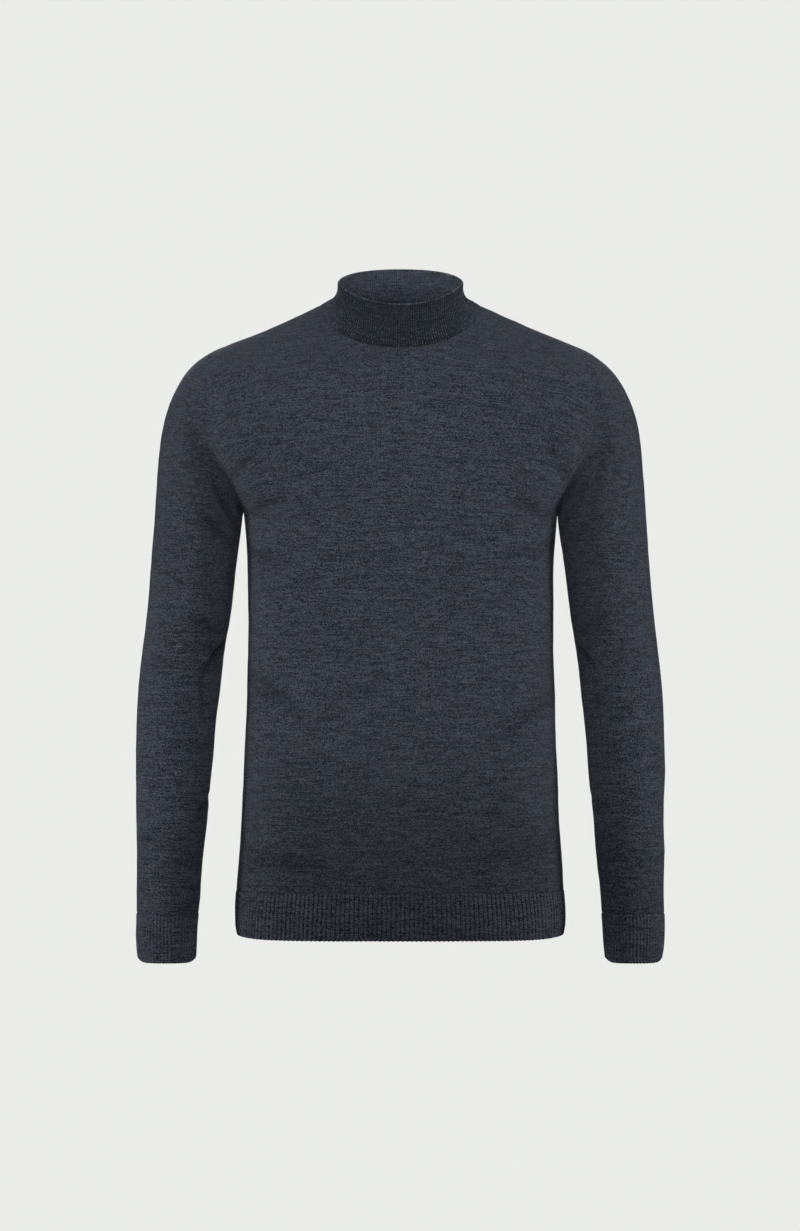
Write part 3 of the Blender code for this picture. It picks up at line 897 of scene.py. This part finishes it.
def knit_material(name, rib_valley_shade, outer_tone, inner_tone):
    """Heather wool: carded fibres, rows of stitches and a faint bloom of loose hairs.

    rib_valley_shade is how much darker the cloth is between ribs, as painted shade, and 0 for plain
    knit.
    The two tones are how much paler than even the outer and the inner side are.
    """
    material = bpy.data.materials.new(name)
    shader = Shader(material)
    place = shader.node("ShaderNodeUVMap", {"uv_map": KNIT_MAP})
    u = shader.node("ShaderNodeSeparateXYZ", {}, {0: place}, "X")
    v = shader.node("ShaderNodeSeparateXYZ", {}, {0: place}, "Y")
    inside = shader.node("ShaderNodeAttribute", {"attribute_name": INNER_SIDE}, {}, "Fac")

    # A stitch has two slanting legs. Each is rounded, and highest at the middle of its loop.
    wale, course = (RIB_WIDTH_IN_MAP, RIB_COURSE) if rib_valley_shade else (WALE, COURSE)
    leg = (u / wale).maths("PINGPONG", u / wale, 0.5) * 2
    slant = v / course + leg * LEG_SLANT
    loop = slant.maths("FRACT", slant)
    stitch = (1 - (2 * loop - 1) ** 2) * LOOP_ROUNDNESS + (1 - LOOP_ROUNDNESS)
    height = stitch * (1 - (2 * leg - 1) ** 2)

    across = u * (TYPICAL_RIB / RIB_WIDTH_IN_MAP) if rib_valley_shade else u
    tuft_across = across / FIBRE_TUFT[0]
    tuft_along = v / FIBRE_TUFT[1]
    tuft_column = tuft_across.maths("FLOOR", tuft_across)
    tuft_row = tuft_along.maths("FLOOR", tuft_along)
    spot = shader.node("ShaderNodeCombineXYZ", {}, {"X": tuft_column, "Y": tuft_row})
    grain = shader.node("ShaderNodeTexWhiteNoise", {"noise_dimensions": "2D"}, {"Vector": spot})
    stitch_along = v / course
    row = stitch_along.maths("FLOOR", stitch_along)
    run = noise(shader, across, row * RUN_STEP, RUN, MM, 1.0)
    long_run = noise(shader, across + LONG_RUN_START, row * LONG_RUN_STEP, LONG_RUN, MM, 1.0)
    clouds = noise(shader, across, v, *CLOUD)
    mix = 0.5 + (grain - 0.5) * TUFT_SHARE
    mix = mix + (run - 0.5) * RUN_SHARE + (long_run - 0.5) * LONG_RUN_SHARE
    mix = mix + (clouds - 0.5) * CLOUD_SHARE + (height - MEAN_HEIGHT) * STITCH_SHARE
    closed = shader.node("ShaderNodeAttribute", {"attribute_name": RIB_SHARE}, {}, "Fac")
    inner = inside.maths("MINIMUM", inside, 1.0)
    depth = inside.maths("MAXIMUM", inside - 1, 0.0)
    fold = shader.node("ShaderNodeAttribute", {"attribute_name": CREASE_SHADE}, {}, "Fac")
    # Painted shade deep inside the neck, darker the deeper down it is.
    tone = outer_tone * closed + inner * (inner_tone - outer_tone) - depth * depth
    # Painted shade in creases, darker the deeper the cloth lies in one.
    tone = tone - fold * FOLD_SHADE
    if rib_valley_shade:
        # turned is 1 round a free edge, where the valley shade gives way to a painted highlight.
        turned = inner * (1 - inner) * 4
        # Painted shade in the valleys between ribs.
        valley = (1 - leg) ** VALLEY_NARROWNESS * (1 - INNER_VALLEY_LOSS * inner)
        valley = valley * closed * (1 - EDGE_VALLEY_LOSS * turned)
        tone = tone - rib_valley_shade * valley + EDGE_HIGHLIGHT * turned
    colour = shader.node(
        "ShaderNodeValToRGB",
        {"stops": list(zip(FIBRE_STOPS, (DARK_FIBRE, MIDDLE_FIBRE, LIGHT_FIBRE)))},
        {"Fac": mix + tone},
    )
    dye_lots = noise(shader, across + DYE_START, v, *DYE_PATCH)
    dye = shader.node(
        "ShaderNodeValToRGB",
        {"stops": list(zip(DYE_STOPS, (GREENER, REDDER)))},
        {"Fac": dye_lots},
    )
    colour = shader.node(
        "ShaderNodeMix",
        {"data_type": "RGBA", "blend_type": "MULTIPLY"},
        {"Factor": 1.0, "A": colour, "B": dye},
        "Result",
    )
    relief = height * STITCH_RELIEF + grain * FIBRE_RELIEF
    bump = shader.node(
        "ShaderNodeBump",
        {},
        {"Strength": RELIEF_STRENGTH, "Distance": RELIEF, "Height": relief},
    )
    surface = shader.node(
        "ShaderNodeBsdfPrincipled",
        {},
        {
            "Base Color": colour,
            "Roughness": 0.93,
            "Diffuse Roughness": 0.1,
            "Specular IOR Level": 0.25,
            "Sheen Weight": 0.05,
            "Sheen Roughness": 0.45,
            "Sheen Tint": (0.62, 0.68, 0.80, 1.0),
            "Normal": bump,
        },
    )
    shader.node("ShaderNodeOutputMaterial", {}, {"Surface": surface})
    return material


PLAIN = knit_material("heather_plain_knit", rib_valley_shade=0.0, outer_tone=0.0, inner_tone=-0.04)
WRIST_AND_HEM_RIB = knit_material(
    "heather_rib_knit", rib_valley_shade=0.29, outer_tone=0.205, inner_tone=-0.04
)
# Its inner side is painted much paler than its outer side, as painted light inside the neck.
COLLAR_RIB_CLOTH = knit_material(
    "heather_double_rib_knit", rib_valley_shade=1.50, outer_tone=0.055, inner_tone=0.26
)

# ---- The pieces ----

# flat is the cut's width and length in metres, and area its flat area where it isn't a rectangle.
# The number in a piece's own call is where on the knit it starts, so that no two panels look alike.
Piece = namedtuple("Piece", "obj node material slot flat area rests_on")
PIECES = [
    Piece(
        panel("front_panel", FRONT, 0.0),
        "front", PLAIN, "plain_knit", (0.450, 0.660), 0.278, ["back_panel", "neck_collar"],
    ),
    Piece(
        panel("back_panel", BACK, 1700.0),
        "back", PLAIN, "plain_knit", (0.450, 0.670), 0.286, ["front_panel", "neck_collar"],
    ),
    Piece(
        sleeve("left_sleeve", LEFT, 3100.0),
        "sleeve_left", PLAIN, "plain_knit", (0.360, 0.615), 0.151, ["front_panel", "back_panel"],
    ),
    Piece(
        sleeve("right_sleeve", RIGHT, 4300.0),
        "sleeve_right", PLAIN, "plain_knit", (0.360, 0.615), 0.151, ["front_panel", "back_panel"],
    ),
    Piece(
        hem_rib("front_hem_rib", FRONT, 0.0),
        "hem_rib_front", WRIST_AND_HEM_RIB, "rib_knit", (0.470, 0.051), None, ["front_panel"],
    ),
    Piece(
        hem_rib("back_hem_rib", BACK, 1700.0),
        "hem_rib_back", WRIST_AND_HEM_RIB, "rib_knit", (0.475, 0.051), None, ["back_panel"],
    ),
    Piece(
        cuff("left_cuff", LEFT, 3100.0),
        "cuff_left", WRIST_AND_HEM_RIB, "rib_knit", (0.200, 0.053), None, ["left_sleeve"],
    ),
    Piece(
        cuff("right_cuff", RIGHT, 4300.0),
        "cuff_right", WRIST_AND_HEM_RIB, "rib_knit", (0.200, 0.053), None, ["right_sleeve"],
    ),
    Piece(
        collar("neck_collar", 5200.0),
        "collar", COLLAR_RIB_CLOTH, "rib_knit", (0.440, 0.047), None, ["front_panel", "back_panel"],
    ),
]
for piece in PIECES:
    piece.obj.data.materials.append(piece.material)
    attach(piece.obj, "root")
    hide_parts(piece.node)

# ---- Floor, light and camera ----

FLOOR_HEIGHT = -1.45
FLOOR_REACH = 4.0
FLOOR_SIDES = 96
FLOOR_FADE = 0.9, 3.9
FLOOR_GREY = (0.12, 0.12, 0.118, 1.0)
PALE = (0.83, 0.84, 0.815)
# How strongly the floor glows, and how strongly the walls light the garment.
FLOOR_GLOW = 0.80
WALL_LIGHT = 0.05


def floor():
    """A pale floor at a wearer's standing height, which fades out well away from the garment."""
    mesh = bpy.data.meshes.new("floor")
    ring = [
        (FLOOR_REACH * math.cos(a), FLOOR_REACH * math.sin(a), FLOOR_HEIGHT)
        for a in np.linspace(0, 2 * math.pi, FLOOR_SIDES + 1)[:-1]
    ]
    mesh.from_pydata(ring, [], [list(range(len(ring)))])
    material = bpy.data.materials.new("pale_floor")
    shader = Shader(material)
    place = shader.node("ShaderNodeNewGeometry", {}, {}, "Position")
    flat = shader.node("ShaderNodeVectorMath", {"operation": "MULTIPLY"}, {0: place, 1: (1, 1, 0)})
    away = shader.node("ShaderNodeVectorMath", {"operation": "LENGTH"}, {0: flat}, "Value")
    shown = shader.node(
        "ShaderNodeMapRange",
        {"interpolation_type": "SMOOTHSTEP"},
        {
            "Value": away,
            "From Min": FLOOR_FADE[0],
            "From Max": FLOOR_FADE[1],
            "To Min": 1.0,
            "To Max": 0.0,
        },
    )
    surface = shader.node(
        "ShaderNodeBsdfPrincipled",
        {},
        {
            "Base Color": FLOOR_GREY,
            "Roughness": 0.9,
            "Emission Color": (*PALE, 1.0),
            "Emission Strength": FLOOR_GLOW,
            "Alpha": shown,
        },
    )
    shader.node("ShaderNodeOutputMaterial", {}, {"Surface": surface})
    mesh.materials.append(material)
    obj = bpy.data.objects.new("floor", mesh)
    obj.visible_diffuse = False
    bpy.context.scene.collection.objects.link(obj)


def studio_walls():
    """A pale surround to look at, which lights the garment more softly than it shows."""
    world = bpy.data.worlds.new("studio")
    bpy.context.scene.world = world
    shader = Shader(world)
    seen = shader.node("ShaderNodeBackground", {}, {"Color": (*PALE, 1.0), "Strength": 1.0})
    light = shader.node("ShaderNodeBackground", {}, {"Color": (*PALE, 1.0), "Strength": WALL_LIGHT})
    ray = shader.node("ShaderNodeLightPath", {}, {}, "Is Camera Ray")
    both = shader.node("ShaderNodeMixShader", {}, {0: ray, 1: light, 2: seen})
    shader.node("ShaderNodeOutputWorld", {}, {"Surface": both})


# Area lamps: place, the point aimed at and size in metres, power in watts and spread in degrees.
Lamp = namedtuple("Lamp", "name place aim size power spread")
LAMPS = [
    Lamp("front_softbox", (0.0, -3.2, 0.7), (0, 0, -0.15), (0.66, 0.8), 0.68, 6),
    Lamp("front_fill", (0.0, -3.4, 1.1), (0, 0, -0.3), (0.8, 0.8), 27.5, 180),
    Lamp("overhead_softbox", (0.0, -0.7, 2.2), (0, 0, -0.2), (1.4, 1.0), 13, 180),
    Lamp("left_softbox", (-2.4, -0.42, -0.35), (0, 0, -0.45), (0.5, 1.0), 28, 180),
    Lamp("right_softbox", (2.4, -0.42, -0.35), (0, 0, -0.45), (0.5, 1.0), 26, 180),
    Lamp("left_strip", (-0.5, -3.0, -0.5), (-0.26, 0, -0.62), (0.10, 0.32), 0.020, 3),
    Lamp("right_strip", (0.5, -3.0, -0.5), (0.26, 0, -0.62), (0.10, 0.32), 0.006, 3),
    Lamp("neck_light", (0.0, -2.2, 1.72), (0, 0.06, 0.02), (0.13, 0.05), 0.010, 2),
    Lamp("back_softbox", (0.0, 3.2, 1.1), (0, 0, -0.25), (1.8, 1.0), 120, 180),
]


def aim(obj, place, target):
    """Puts a lamp in its place and turns it to face the target."""
    way = np.array(target, float) - place
    obj.location = place
    flat = math.hypot(way[0], way[1])
    obj.rotation_euler = (math.atan2(flat, -way[2]), 0, math.atan2(-way[0], way[1]))


def lamps():
    """The soft studio light, from in front, above, both sides and behind."""
    for lamp in LAMPS:
        light = bpy.data.lights.new(lamp.name, "AREA")
        light.shape = "RECTANGLE"
        light.size, light.size_y = lamp.size
        light.energy = lamp.power
        light.spread = math.radians(lamp.spread)
        obj = bpy.data.objects.new(lamp.name, light)
        aim(obj, lamp.place, lamp.aim)
        bpy.context.scene.collection.objects.link(obj)


# The view takes in this height of the plane through the garment's middle, from this far away.
VIEW_HEIGHT = 1.3356
VIEW_DISTANCE = 6.0
VIEW_CENTRE = (-0.0004, -0.339)
SENSOR = 36.0


def camera():
    """A camera at the height of the garment's middle, looking straight at its front."""
    data = bpy.data.cameras.new("camera")
    data.sensor_width = SENSOR
    data.lens = SENSOR * VIEW_DISTANCE / VIEW_HEIGHT
    data.clip_end = 100
    obj = bpy.data.objects.new("camera", data)
    obj.location = (VIEW_CENTRE[0], -VIEW_DISTANCE, VIEW_CENTRE[1])
    obj.rotation_euler = (math.pi / 2, 0, 0)
    bpy.context.scene.collection.objects.link(obj)
    bpy.context.scene.camera = obj


floor()
studio_walls()
lamps()
camera()
bpy.context.scene.view_settings.view_transform = "Standard"
